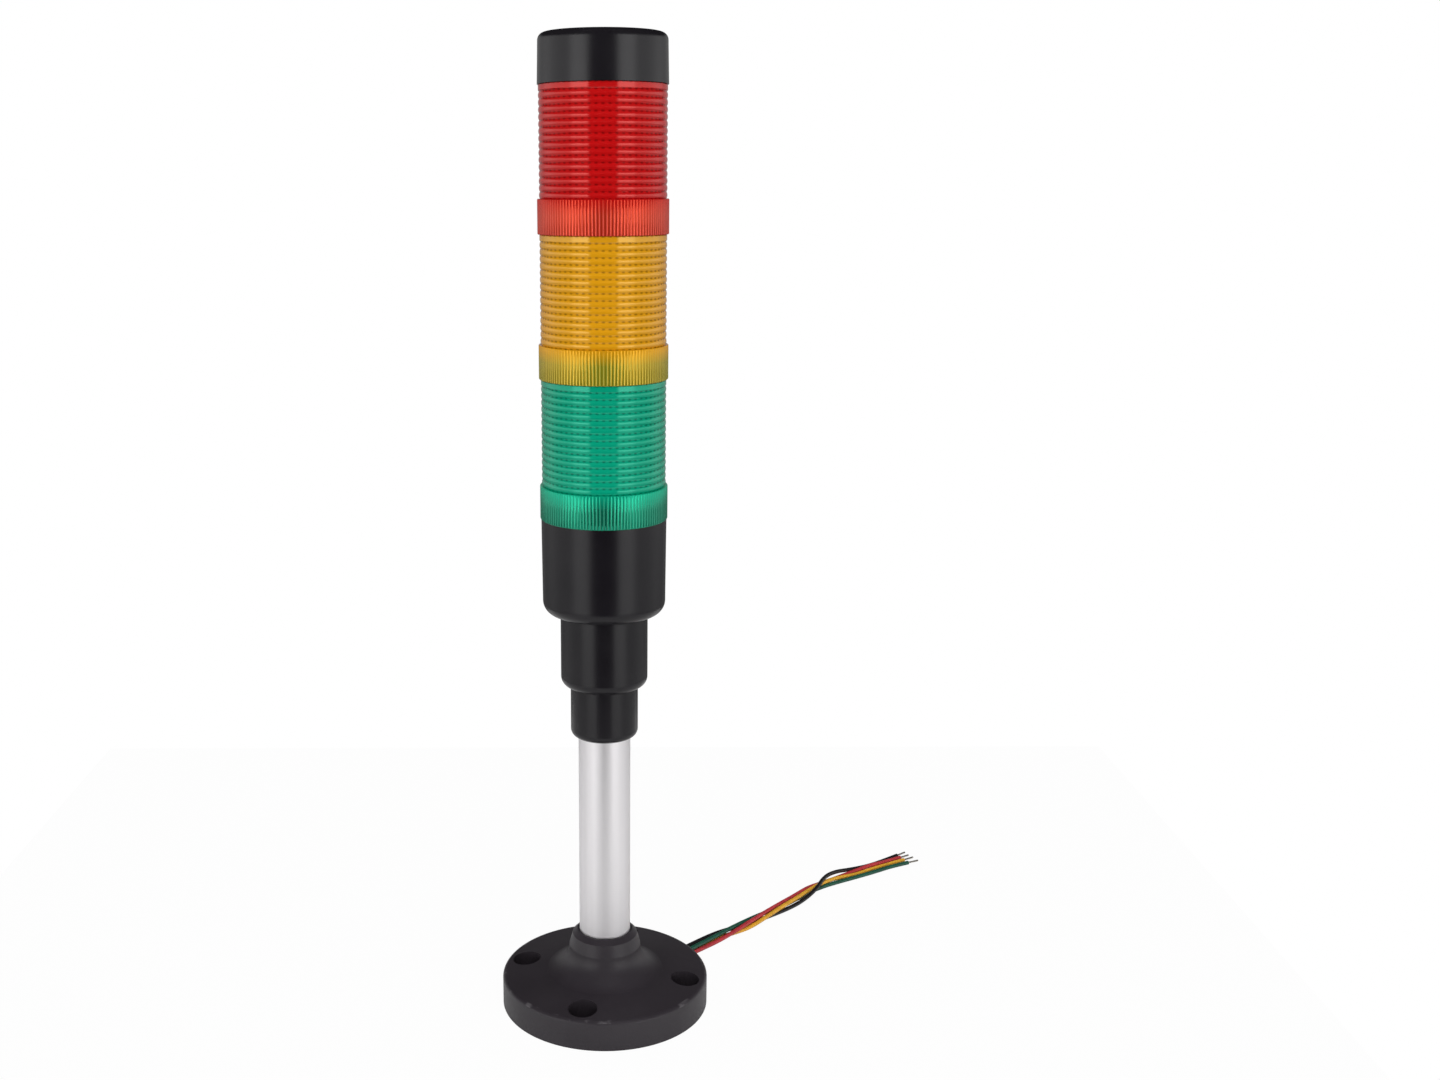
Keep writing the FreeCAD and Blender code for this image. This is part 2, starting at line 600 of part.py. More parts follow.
def wire(colour):
    pad_x, pad_y = WIRE_PADS[colour]
    points = [Vector(pad_x, pad_y, TERMINAL_BOARD_Z)] + [Vector(*p) for p in WIRE_ROUTES[colour]]
    path, tightest = wire_path(points)
    section = Part.Wire(Part.makeCircle(WIRE_D / 2, points[0], points[1] - points[0]))
    tube = path.makePipeShell([section], True, False)
    wanted = path.Length * math.pi * WIRE_D**2 / 4
    print(
        f"wire {colour}: {path.Length:.1f} long, tightest bend {tightest:.1f},"
        f" volume {tube.Volume / wanted:.4f} of section times length"
    )
    return tube


def wire_core(colour):
    """The stripped end, straight on from the last run."""
    before, end = (Vector(*p) for p in WIRE_ROUTES[colour][-2:])
    return Part.makeCylinder(CORE_D / 2, CORE_L, end, end - before)


def save_wires():
    for colour in WIRE_ROUTES:
        save(colour + "_wire", wire(colour))
    save("wire_cores", Part.makeCompound([wire_core(colour) for colour in WIRE_ROUTES]))


# ---------------------------------------------------------------- all pieces
os.makedirs("parts", exist_ok=True)
save("mounting_foot", mounting_foot())
save("pole_tube", pole_tube())
save("pole_set_screws", pole_set_screws())
save("base_housing", base_housing())
save("terminal_board", terminal_board())
save("board_screws", board_screws())
save_modules()
save("top_cap", top_cap())
save_wires()
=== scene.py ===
# %% [markdown]
# # A stack light, dressed in Blender
# The object is a signal tower: three coloured lens modules twist onto a stepped black housing, a
# cap closes the top, and a thin tube carries it all on a round foot. Its shape comes ready made as
# a frame of rigid nodes, so this lesson loads the frame, gives each node the finish of its real
# material, and builds anew only what has finer detail than the frame: the lenses and the wires.

# %% Load the frame
import math

import bpy
from mathutils import Matrix, Vector


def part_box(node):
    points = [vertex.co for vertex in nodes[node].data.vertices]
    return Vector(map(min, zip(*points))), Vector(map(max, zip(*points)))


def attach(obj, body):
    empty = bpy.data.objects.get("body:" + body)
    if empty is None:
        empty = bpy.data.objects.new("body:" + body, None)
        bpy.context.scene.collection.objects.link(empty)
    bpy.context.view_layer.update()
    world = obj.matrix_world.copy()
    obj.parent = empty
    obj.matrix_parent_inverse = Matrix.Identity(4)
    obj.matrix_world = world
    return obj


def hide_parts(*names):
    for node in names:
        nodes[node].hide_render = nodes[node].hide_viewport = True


MM = 0.001

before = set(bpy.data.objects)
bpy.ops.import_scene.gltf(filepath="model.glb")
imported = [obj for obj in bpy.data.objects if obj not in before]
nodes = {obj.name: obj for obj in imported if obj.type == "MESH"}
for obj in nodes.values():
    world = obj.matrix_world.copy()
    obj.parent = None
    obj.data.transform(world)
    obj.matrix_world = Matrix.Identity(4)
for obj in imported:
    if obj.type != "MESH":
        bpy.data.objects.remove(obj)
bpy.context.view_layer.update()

# %% [markdown]
# ## Where the eye is
# A tall slim object is usually shown from a little above its middle, so that the foot shows its
# top face. The lens shift moves the picture instead of turning the camera, which keeps the
# pole's sides nearly parallel.

# %% Camera
EYE = Vector((0.0, -608.7, 336.3)) * MM
LOOK_DOWN = 0.212
HEAD_TILT = -0.0023

camera_data = bpy.data.cameras.new("eye")
camera_data.sensor_width = 36.0
camera_data.lens = 39.47
camera_data.shift_x = 0.0806
camera_data.shift_y = -0.0133
camera_data.clip_start = 0.01
camera = bpy.data.objects.new("eye", camera_data)
bpy.context.scene.collection.objects.link(camera)
aim = Matrix.Rotation(math.pi / 2 - LOOK_DOWN, 4, "X") @ Matrix.Rotation(HEAD_TILT, 4, "Z")
camera.matrix_world = Matrix.Translation(EYE) @ aim
bpy.context.scene.camera = camera
print("camera stands", round(-EYE.y, 3), "m in front of the pole")

# %% [markdown]
# ## Helpers for finishes
# Almost every surface here is a moulded or drawn material whose colour is even but never perfect.
# One helper starts a material with its plain values on the shader's own sockets. Two more add
# what a real surface has on top: a colour that drifts softly, and a fine relief in the skin.


# %% Material helpers
def plain_finish(name, colour, roughness, metallic=0.0, **sockets):
    """A material with its even values set. Returns it with its shader."""
    material = bpy.data.materials.new(name)
    material.use_nodes = True
    shader = material.node_tree.nodes["Principled BSDF"]
    shader.inputs["Base Color"].default_value = (*colour, 1.0)
    shader.inputs["Roughness"].default_value = roughness
    shader.inputs["Metallic"].default_value = metallic
    for socket, value in sockets.items():
        shader.inputs[socket.replace("_", " ")].default_value = value
    return material, shader


def noise(material, scale, detail=3.0, stretch=(1, 1, 1)):
    """A noise laid in the row frame, in metres, so it keeps one scale on every piece."""
    tree = material.node_tree
    place = tree.nodes.new("ShaderNodeTexCoord")
    mapping = tree.nodes.new("ShaderNodeMapping")
    mapping.inputs["Scale"].default_value = stretch
    texture = tree.nodes.new("ShaderNodeTexNoise")
    texture.inputs["Scale"].default_value = scale
    texture.inputs["Detail"].default_value = detail
    tree.links.new(place.outputs["Object"], mapping.inputs["Vector"])
    tree.links.new(mapping.outputs["Vector"], texture.inputs["Vector"])
    return texture.outputs["Fac"]


def maths(owner, operation, *values):
    """One sum on values or on other nodes' outputs, in a material or in the world."""
    node = owner.node_tree.nodes.new("ShaderNodeMath")
    node.operation = operation
    for socket, value in zip(node.inputs, values):
        if isinstance(value, (int, float)):
            socket.default_value = value
        else:
            owner.node_tree.links.new(value, socket)
    return node.outputs["Value"]


def ramp(material, source, low, high, low_colour, high_colour):
    """Turns a 0 to 1 value into a soft step between two colours."""
    node = material.node_tree.nodes.new("ShaderNodeValToRGB")
    node.color_ramp.elements[0].position = low
    node.color_ramp.elements[1].position = high
    node.color_ramp.elements[0].color = (*low_colour, 1.0)
    node.color_ramp.elements[1].color = (*high_colour, 1.0)
    material.node_tree.links.new(source, node.inputs["Fac"])
    return node.outputs["Color"]


def drift_colour(material, shader, source, dark, light):
    """The base colour wanders between a darker and a lighter tone."""
    colour = ramp(material, source, 0.3, 0.7, dark, light)
    material.node_tree.links.new(colour, shader.inputs["Base Color"])


def drift_roughness(material, shader, source, low, high):
    """Some places are a little shinier than others."""
    node = material.node_tree.nodes.new("ShaderNodeMapRange")
    node.inputs["To Min"].default_value = low
    node.inputs["To Max"].default_value = high
    material.node_tree.links.new(source, node.inputs["Value"])
    material.node_tree.links.new(node.outputs["Result"], shader.inputs["Roughness"])


def relief(material, shader, source, depth, strength=1.0):
    """A fine relief of that depth in metres."""
    node = material.node_tree.nodes.new("ShaderNodeBump")
    node.inputs["Distance"].default_value = depth
    node.inputs["Strength"].default_value = strength
    material.node_tree.links.new(source, node.inputs["Height"])
    material.node_tree.links.new(node.outputs["Normal"], shader.inputs["Normal"])


# %% [markdown]
# ## The wires
# Four thin stranded wires come down the pole, leave under the foot's rim and lie loosely twisted
# on the table. Soft wire has no corners, so each one is a single smooth NURBS line through a short
# list of control points, given a round section. Each crossing has its own heights, so that the
# wires pass over and under each other and never through.

# %% Wire routes, in millimetres
WIRE_D = 1.9
WIRE_ROUTES = {
    "black": [
        (0.4, 3.3, 215.6), (0.4, 3.3, 170.0), (-0.6, 1.2, 124.0), (0.4, 2.2, 80.0), (-1.8, 0.0, 45.9),
        (-3.0, -1.2, 26.1), (-2.2, -0.6, 14.5), (1.4, 3.1, 6.4), (7.5, 9.3, 3.2), (16.0, 17.9, 3.15),
        (25.8, 28.0, 3.2), (36.8, 38.5, 3.3), (48.4, 49.8, 3.1), (56.2, 56.7, 2.2), (64.7, 63.1, 1.0),
        (73.7, 70.1, 1.0), (83.6, 77.6, 1.0), (93.1, 86.2, 1.2), (101.3, 95.0, 3.4),
        (106.7, 105.3, 5.4), (113.4, 114.6, 3.8), (121.9, 121.3, 1.8), (131.2, 126.9, 1.0),
        (140.3, 133.1, 1.0), (148.4, 139.6, 1.0),
    ],
    "green": [
        (3.3, 0.4, 215.6), (3.3, 0.4, 170.0), (1.2, -0.6, 124.0), (2.2, 0.5, 80.0), (0.0, -1.8, 45.9),
        (-1.2, -3.0, 26.1), (-0.5, -2.3, 14.5), (3.1, 1.4, 6.4), (9.1, 7.6, 3.2), (17.7, 16.3, 3.15),
        (27.5, 26.2, 3.2), (38.2, 36.4, 3.2), (49.9, 47.9, 3.3), (57.2, 55.2, 3.5), (64.8, 63.0, 3.2),
        (72.5, 71.5, 2.3), (81.5, 80.2, 1.0), (90.5, 89.0, 1.0), (98.8, 97.8, 1.0), (107.2, 104.6, 1.0),
        (116.1, 109.9, 1.0), (125.2, 115.1, 1.0), (134.5, 120.7, 1.0), (143.4, 126.7, 1.0),
        (152.5, 131.0, 1.0),
    ],
    "red": [
        (0.4, -2.4, 215.6), (0.4, -2.4, 170.0), (-0.5, -2.3, 124.0), (0.5, -1.3, 80.0),
        (-1.8, -3.6, 46.1), (-2.9, -4.7, 25.9), (-2.0, -3.8, 13.7), (2.2, 0.5, 4.7), (8.9, 7.2, 1.1),
        (17.7, 16.2, 1.0), (27.6, 26.2, 1.0), (38.4, 36.1, 1.0), (50.7, 46.9, 1.2), (58.4, 53.5, 2.4),
        (66.2, 61.0, 3.5), (73.7, 70.0, 3.6), (81.8, 79.9, 3.2), (90.3, 89.1, 3.2), (97.9, 98.8, 2.8),
        (105.6, 106.6, 1.4), (114.0, 113.3, 1.1), (123.2, 119.1, 1.7), (132.1, 125.1, 2.3),
        (141.3, 131.0, 1.5), (149.6, 137.1, 1.0),
    ],
    "yellow": [
        (-2.4, 0.4, 215.6), (-2.4, 0.4, 170.0), (-2.3, -0.6, 124.0), (-1.4, 0.4, 80.0),
        (-3.5, -1.8, 46.1), (-4.7, -3.0, 25.9), (-3.8, -2.0, 13.7), (0.4, 2.2, 4.7), (7.1, 9.0, 1.1),
        (15.9, 18.0, 1.0), (25.8, 28.0, 1.0), (36.8, 38.4, 1.0), (49.0, 49.1, 1.0), (57.5, 54.8, 1.0),
        (66.4, 60.6, 1.0), (75.1, 68.5, 2.6), (83.5, 78.0, 3.2), (91.8, 87.5, 3.1), (99.4, 97.2, 3.0),
        (106.7, 105.1, 2.9), (115.1, 111.6, 2.1), (124.1, 117.1, 1.0), (132.9, 123.6, 1.0),
        (142.3, 129.0, 1.0), (151.0, 134.3, 1.0),
    ],
}


# %% Draw the wires
def smooth_line(name, points, radius):
    """A round wire along one NURBS line."""
    curve = bpy.data.curves.new(name, "CURVE")
    curve.dimensions = "3D"
    spline = curve.splines.new("NURBS")
    spline.points.add(len(points) - 1)
    for place, point in zip(spline.points, points):
        place.co = (*(Vector(point) * MM), 1.0)
    spline.order_u = 3
    spline.use_endpoint_u = True
    curve.resolution_u = 8
    curve.bevel_depth = radius * MM
    curve.bevel_resolution = 5
    curve.use_fill_caps = True
    wire = bpy.data.objects.new(name, curve)
    bpy.context.scene.collection.objects.link(wire)
    return wire


WIRE_COLOURS = {
    "black": (0.012, 0.011, 0.012),
    "green": (0.014, 0.090, 0.056),
    "red": (0.500, 0.040, 0.050),
    "yellow": (0.780, 0.400, 0.030),
}


def wire_sleeve(colour_name):
    """Soft coloured plastic with a faint drag in its skin."""
    colour = WIRE_COLOURS[colour_name]
    material, shader = plain_finish(f"sleeve_{colour_name}", colour, 0.38)
    darker = [c * 0.82 for c in colour]
    lighter = [c * 1.12 for c in colour]
    drift_colour(material, shader, noise(material, scale=220), darker, lighter)
    relief(material, shader, noise(material, scale=900, stretch=(1, 1, 0.3)), depth=0.00003)
    return material


wires = {}
for colour_name, route in WIRE_ROUTES.items():
    wire = smooth_line(f"lead_{colour_name}", route, WIRE_D / 2)
    wire.data.materials.append(wire_sleeve(colour_name))
    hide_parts(f"{colour_name}_wire")
    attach(wire, "base")
    wires[colour_name] = wire
print("wires:", ", ".join(wires))

# %% [markdown]
# ## The stripped ends
# Each wire ends in a few millimetres of bare strands, dipped in solder. Seven fine round strands,
# one in the middle and six laid round it with a slow twist, read as what they are even up close.
# A loop places them, in line with the last run of the wire.

# %% Bare strands
STRAND_COUNT = 7
STRAND_D = 0.3
STRAND_STEPS = 4
STRAND_TWIST = math.radians(70)
BARE_L = 6.0


def strand_lines(before, end):
    """The strands' lines of points, which go straight on from the end of a wire."""
    along = (Vector(end) - Vector(before)).normalized()
    side = along.cross(Vector((0, 0, 1))).normalized()
    lift = side.cross(along)
    lines = []
    for strand in range(STRAND_COUNT):
        reach = 0.0 if strand == 0 else STRAND_D
        line = []
        for step in range(STRAND_STEPS + 1):
            share = step / STRAND_STEPS
            angle = strand * math.tau / (STRAND_COUNT - 1) + share * STRAND_TWIST
            offset = (side * math.cos(angle) + lift * math.sin(angle)) * reach
            line.append(Vector(end) + along * (BARE_L * share) + offset)
        lines.append(line)
    return lines


strand_curve = bpy.data.curves.new("bare_strands", "CURVE")
strand_curve.dimensions = "3D"
strand_curve.bevel_depth = STRAND_D / 2 * MM
strand_curve.bevel_resolution = 2
strand_curve.use_fill_caps = True
for route in WIRE_ROUTES.values():
    for line in strand_lines(route[-2], route[-1]):
        spline = strand_curve.splines.new("POLY")
        spline.points.add(len(line) - 1)
        for place, point in zip(spline.points, line):
            place.co = (*(point * MM), 1.0)
        spline.use_smooth = True

tinned, tinned_shader = plain_finish("tinned_copper", (0.62, 0.58, 0.52), 0.3, metallic=1.0)
drift_roughness(tinned, tinned_shader, noise(tinned, scale=1500), 0.2, 0.45)
bare_strands = bpy.data.objects.new("bare_strands", strand_curve)
bpy.context.scene.collection.objects.link(bare_strands)
strand_curve.materials.append(tinned)
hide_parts("wire_cores")
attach(bare_strands, "base")

# %% [markdown]
# Each wire's real length is measured from its line and printed. It starts at the pad where it is
# soldered under the board in the housing.


def run_length(obj):
    """Length of a curve's own line, read from a copy of it that has no round section."""
    bare = obj.data.copy()
    bare.bevel_depth = 0.0
    holder = bpy.data.objects.new("ruler", bare)
    mesh = bpy.data.meshes.new_from_object(holder)
    total = 0.0
    for edge in mesh.edges:
        one, other = (mesh.vertices[corner].co for corner in edge.vertices)
        total += (one - other).length
    bpy.data.objects.remove(holder)
    return total


for colour_name, wire in wires.items():
    length = run_length(wire)
    print(f"wire {colour_name}: {length / MM:.0f} mm from its pad to its bare end")

# %% [markdown]
# ## The lens
# Each lens is one clear moulding. Rings run round its outside and upright flutes run down its
# inside, and together they break the light into rows of small dots. Below is a collar with fine
# grip ribs, above a smooth spigot with lugs that the next unit twists onto. A turned outline can't
# give ribs or flutes, so the mesh is spun by code: at every angle each point of the outline may
# step in or out a little, by a rule that goes with its stretch of the outline.

# %% Lens sizes, in millimetres
COLLAR_WALL = 2.3
COLLAR_H = 13.2
COLLAR_RIBS = 120
RIB_DEPTH = 0.12  # the crests are rounded here; the frame has plain zigzag ribs, 0.3 deep
EDGE = 0.25  # bevel on every outer edge
BODY_INSET = 0.75
RINGS = 15  # the frame has 8, at twice the pitch
RING_DEPTH = 0.36
RING_STEPS = 5
PLAIN_TOP = 2.6
BODY_TOP = 54.8
LENS_WALL = 2.2
FLUTES = 60
FLUTE_DEPTH = 0.45
FLUTE_END = 0.5  # plain stretch below and above the flutes
SEAT_GAP = 0.1
TWIST_FIT = 0.3
SPIGOT_WALL = 2.2
SPIGOT_H = 11.5
DECK_T = 1.6
PLATE_UNDER = 12.4
PLATE_TOP = 14.1
BEAD_H = 0.4
BEAD_REACH = 0.4
BEAD_HALF_SPAN = 4.0
LUG_COUNT = 3
LUG_SPACING = 360.0 / LUG_COUNT
LUG_FIRST = 30.0
LUG_HALF_SPAN = 6.0
LUG_REACH = 1.0
LUG_UP = 5.0
LUG_H = 2.5
TWIST_RANGE = 18.0
SLOT_PLAY = 0.75  # degrees, on each side of a lug
HAIR = 0.02  # height of the step where a lug, slot or bead begins
SPIN_STEPS = 720


# %% Rules for stepping in and out
def from_nearest(degrees, first):
    """Angle from the nearest of the places that start at the first and lie a lug's spacing apart."""
    return (degrees - first + LUG_SPACING / 2) % LUG_SPACING - LUG_SPACING / 2


def plain(degrees):
    return 0.0


def grip_ribs(degrees):
    crest = 0.5 + 0.5 * math.cos(math.radians(degrees * COLLAR_RIBS))
    return -RIB_DEPTH * (1.0 - crest**1.5)


def inner_flutes(degrees):
    return FLUTE_DEPTH * abs(math.sin(math.radians(degrees * FLUTES / 2)))


def lugs(degrees):
    inside = abs(from_nearest(degrees, LUG_FIRST)) <= LUG_HALF_SPAN
    return LUG_REACH if inside else 0.0


def slot_way_in(degrees):
    off = from_nearest(degrees, LUG_FIRST) + TWIST_RANGE
    deep = abs(off) <= LUG_HALF_SPAN + SLOT_PLAY
    return LUG_REACH if deep else 0.0


def slot_way_round(degrees):
    off = from_nearest(degrees, LUG_FIRST)
    side = LUG_HALF_SPAN + SLOT_PLAY
    deep = -TWIST_RANGE - side <= off <= side
    return LUG_REACH if deep else 0.0


def snap_beads(degrees):
    off = from_nearest(degrees, 0.0)
    return -BEAD_REACH if abs(off) <= BEAD_HALF_SPAN else 0.0


# %% [markdown]
# The outline goes once round the section: up the collar's outside, over the rings, round the
# spigot and back down the inside. Each entry is a radius, a height and the rule that applies.


# %% Outline of the lens
def ring_outline(body_r):
    """The rounded rings, from the collar up to the plain band."""
    low, high = COLLAR_H, BODY_TOP - PLAIN_TOP
    pitch = (high - low) / RINGS
    outline = []
    for ring in range(RINGS):
        for step in range(RING_STEPS):
            share = 2.0 * step / RING_STEPS - 1.0
            height = low + (ring + step / RING_STEPS) * pitch
            outline.append((body_r - RING_DEPTH * share**2, height, plain))
    outline.append((body_r - RING_DEPTH, high, plain))
    return outline


def lens_outline(collar_r):
    """The whole section of the moulding, once round."""
    bore_r = collar_r - COLLAR_WALL
    spigot_r = bore_r - TWIST_FIT
    spigot_bore_r = spigot_r - SPIGOT_WALL
    body_r = collar_r - BODY_INSET
    lens_bore_r = body_r - LENS_WALL
    top = BODY_TOP + SPIGOT_H
    slot_floor = LUG_UP - SEAT_GAP - TWIST_FIT
    slot_roof = LUG_UP + LUG_H - SEAT_GAP + TWIST_FIT
    lug_low = BODY_TOP + LUG_UP
    lug_high = lug_low + LUG_H
    outside = [
        (bore_r, 0.0, slot_way_in),
        (collar_r - EDGE, 0.0, plain),
        (collar_r, EDGE, grip_ribs),
        (collar_r, COLLAR_H - EDGE, grip_ribs),
        (collar_r - EDGE, COLLAR_H, plain),
    ]
    shoulder = [
        (body_r - EDGE, BODY_TOP - PLAIN_TOP + EDGE, plain),
        (body_r, BODY_TOP - PLAIN_TOP + 2 * EDGE, plain),
        (body_r, BODY_TOP - EDGE, plain),
        (body_r - EDGE, BODY_TOP, plain),
    ]
    spigot = [
        (spigot_r, BODY_TOP, plain),
        (spigot_r, lug_low - HAIR, plain),
        (spigot_r, lug_low, lugs),
        (spigot_r, lug_high, lugs),
        (spigot_r, lug_high + HAIR, plain),
        (spigot_r, top - EDGE, plain),
        (spigot_r - EDGE, top, plain),
        (spigot_bore_r, top, plain),
        (spigot_bore_r, BODY_TOP - DECK_T, plain),
    ]
    inside = [
        (lens_bore_r, BODY_TOP - DECK_T, plain),
        (lens_bore_r, BODY_TOP - DECK_T - FLUTE_END, inner_flutes),
        (lens_bore_r, PLATE_TOP + FLUTE_END, inner_flutes),
        (lens_bore_r, PLATE_TOP, plain),
        (bore_r, PLATE_TOP, plain),
        (bore_r, PLATE_UNDER, plain),
        (bore_r, PLATE_UNDER - HAIR, snap_beads),
        (bore_r, PLATE_UNDER - BEAD_H, snap_beads),
        (bore_r, PLATE_UNDER - BEAD_H - HAIR, plain),
        (bore_r, slot_roof + HAIR, plain),
        (bore_r, slot_roof, slot_way_round),
        (bore_r, slot_floor, slot_way_round),
        (bore_r, slot_floor - HAIR, slot_way_in),
    ]
    return outside + ring_outline(body_r) + shoulder + spigot + inside


# %% Spin the outline
def spin(name, outline, base_z):
    """A closed ring of a mesh, with each outline point moved by its own rule at every angle."""
    count = len(outline)
    points = []
    for step in range(SPIN_STEPS):
        degrees = 360.0 * step / SPIN_STEPS
        cos, sin = math.cos(math.radians(degrees)), math.sin(math.radians(degrees))
        for radius, z, rule in outline:
            reach = radius + rule(degrees)
            points.append((reach * cos * MM, reach * sin * MM, base_z + z * MM))
    faces = []
    for step in range(SPIN_STEPS):
        here, there = step * count, (step + 1) % SPIN_STEPS * count
        for i in range(count):
            j = (i + 1) % count
            faces.append((here + i, there + i, there + j, here + j))
    mesh = bpy.data.meshes.new(name)
    mesh.from_pydata(points, [], faces)
    mesh.validate()
    mesh.update()
    return mesh


# %% [markdown]
# The lens is a tinted clear plastic full of small prisms. A fully clear material would need very
# long renders to settle, so this one is partly clear and partly milky: the milky part carries the
# colour. Light that the prisms send back has passed through the tint, which a tinted specular
# gives. Where a ring crosses a flute a small dark dot shows, and each grip rib has a pale crest:
# the dots are painted shade, the crests painted highlights with painted shade in the grooves.
# Two waves, one round the pole and one along it, place them on the real rings, flutes and ribs.
# The collar is thin over the black or coloured spigot below it, so its own colour is darker and
# turns into the body's colour towards its top: painted light, the glow of the lit body above it.

# %% Lens finish
BODY_COLOURS = {
    "green": (0.002, 0.380, 0.220),
    "amber": (0.820, 0.375, 0.007),
    "red": (0.600, 0.006, 0.007),
}
COLLAR_COLOURS = {
    "green": (0.002, 0.165, 0.095),
    "amber": (0.330, 0.330, 0.018),
    "red": (0.640, 0.040, 0.018),
}
BODY_GLINTS = {
    "green": (0.200, 0.780, 0.580),
    "amber": (1.000, 0.780, 0.340),
    "red": (1.000, 0.330, 0.300),
}
COLLAR_GLINTS = {
    "green": (0.060, 0.950, 0.560),
    "amber": (1.000, 0.520, 0.060),
    "red": (1.000, 0.140, 0.070),
}
CLEARNESS = 0.2
BODY_IOR = 1.6
COLLAR_IOR = 2.1  # above the plastic's own, for the extra light that the ribs send back
DOT_SHADE = 0.52
GROOVE_SHADE = 0.72
BODY_GLOW_START = 0.55  # share of the collar's height where the painted light of the body's colour begins


def clear_plastic(name, colour, glint, ior):
    """Tinted plastic, partly clear and partly milky. Its prisms return tinted light."""
    material, shader = plain_finish(name, colour, 0.1, IOR=ior, Transmission_Weight=CLEARNESS)
    shader.inputs["Specular IOR Level"].default_value = 1.0
    shader.inputs["Specular Tint"].default_value = (*glint, 1.0)
    drift_roughness(material, shader, noise(material, scale=60), 0.07, 0.13)
    return material, shader


def turn_and_height(material):
    """The angle round the pole's axis and the height, from the row frame."""
    tree = material.node_tree
    place = tree.nodes.new("ShaderNodeTexCoord")
    split = tree.nodes.new("ShaderNodeSeparateXYZ")
    tree.links.new(place.outputs["Object"], split.inputs["Vector"])
    turn = maths(material, "ARCTAN2", split.outputs["Y"], split.outputs["X"])
    return turn, split.outputs["Z"]


def wave(material, source, cycles, offset=0.0):
    """A 0 to 1 wave of that many cycles per unit."""
    angle = maths(material, "MULTIPLY_ADD", source, cycles * math.tau, offset)
    return maths(material, "MULTIPLY_ADD", maths(material, "COSINE", angle), 0.5, 0.5)


def painted_prism_shade(material, shader, colour, low_z):
    """Painted shade: a small dark dot where each ring crosses each flute, and a dim line between the rings.
    """
    turn, height = turn_and_height(material)
    ring_pitch = (BODY_TOP - PLAIN_TOP - COLLAR_H) / RINGS * MM
    first_ring = low_z + COLLAR_H * MM
    rows = wave(material, height, 1.0 / ring_pitch, -math.tau * first_ring / ring_pitch)
    columns = wave(material, turn, FLUTES / math.tau)
    row_lines = maths(material, "POWER", rows, 5.0)
    column_lines = maths(material, "POWER", columns, 1.5)
    shade_dots = maths(material, "MULTIPLY", row_lines, column_lines)
    deep = [c * DOT_SHADE for c in colour]
    # painted shade: the dots and the lines between the rings darken the base colour
    shade = ramp(material, shade_dots, 0.05, 0.75, colour, deep)
    material.node_tree.links.new(shade, shader.inputs["Base Color"])


def rib_highlights_and_shade(material, shader, colour, body_colour, low_z):
    """Painted highlights on the grip ribs' crests with painted shade in the grooves, and painted light: the
    body's deeper colour over the collar's upper part.
    """
    tree = material.node_tree
    turn, height = turn_and_height(material)
    crests = maths(material, "POWER", wave(material, turn, COLLAR_RIBS / math.tau), 4.0)
    dim = [c * GROOVE_SHADE for c in colour]
    pale = [min(1.0, c * 1.35 + 0.06) for c in colour]
    # painted highlight on each rib's crest, painted shade in each groove
    lines = ramp(material, crests, 0.15, 0.85, dim, pale)
    # painted light: from this height up, the body's colour spreads down over the collar
    rise = tree.nodes.new("ShaderNodeMapRange")
    rise.inputs["From Min"].default_value = low_z + BODY_GLOW_START * COLLAR_H * MM
    rise.inputs["From Max"].default_value = low_z + COLLAR_H * MM
    tree.links.new(height, rise.inputs["Value"])
    mix = tree.nodes.new("ShaderNodeMix")
    mix.data_type = "RGBA"
    mix.inputs["B"].default_value = (*body_colour, 1.0)
    tree.links.new(rise.outputs["Result"], mix.inputs["Factor"])
    tree.links.new(lines, mix.inputs["A"])
    tree.links.new(mix.outputs["Result"], shader.inputs["Base Color"])


def dressed_lens(colour_name):
    """One module's lens: spun, given its two plastics, and set in its node's place."""
    low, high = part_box(f"{colour_name}_lens")
    collar_r = (high[0] - low[0]) / 2 / MM
    mesh = spin(f"{colour_name}_shade", lens_outline(collar_r), low[2])
    body_colour, collar_colour = BODY_COLOURS[colour_name], COLLAR_COLOURS[colour_name]
    body, body_shader = clear_plastic(f"lens_{colour_name}", body_colour, BODY_GLINTS[colour_name], BODY_IOR)
    painted_prism_shade(body, body_shader, body_colour, low[2])
    collar, collar_shader = clear_plastic(
        f"collar_{colour_name}", collar_colour, COLLAR_GLINTS[colour_name], COLLAR_IOR
    )
    rib_highlights_and_shade(collar, collar_shader, collar_colour, body_colour, low[2])
    mesh.materials.append(body)
    mesh.materials.append(collar)
    mesh.set_sharp_from_angle(angle=math.radians(35))
    collar_top = low[2] + COLLAR_H * MM
    shade = bpy.data.objects.new(f"{colour_name}_shade", mesh)
    bpy.context.scene.collection.objects.link(shade)
    for face in mesh.polygons:
        face.use_smooth = True
        face.material_index = int(face.center.z < collar_top)
    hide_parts(f"{colour_name}_lens")
    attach(shade, f"{colour_name}_module")
    return shade


lenses = {name: dressed_lens(name) for name in BODY_COLOURS}
print("lens mesh:", len(lenses["red"].data.polygons), "faces each")

# %% [markdown]
# ## Nodes that keep their shape
# The foot, tube, housing, cap and the hidden boards have their true form in the frame, so each only
# gets a finish. A helper puts one material on a node in place of the plain one.


# %% Give a node its finish
def finish_node(name, material):
    node = nodes[name]
    node.data.materials.clear()
    node.data.materials.append(material)


# %% [markdown]
# The housing and the cap are black ABS with a satin skin: nearly black, with broad soft highlights.
# The mould leaves a very fine grain, which a small noise relief gives.

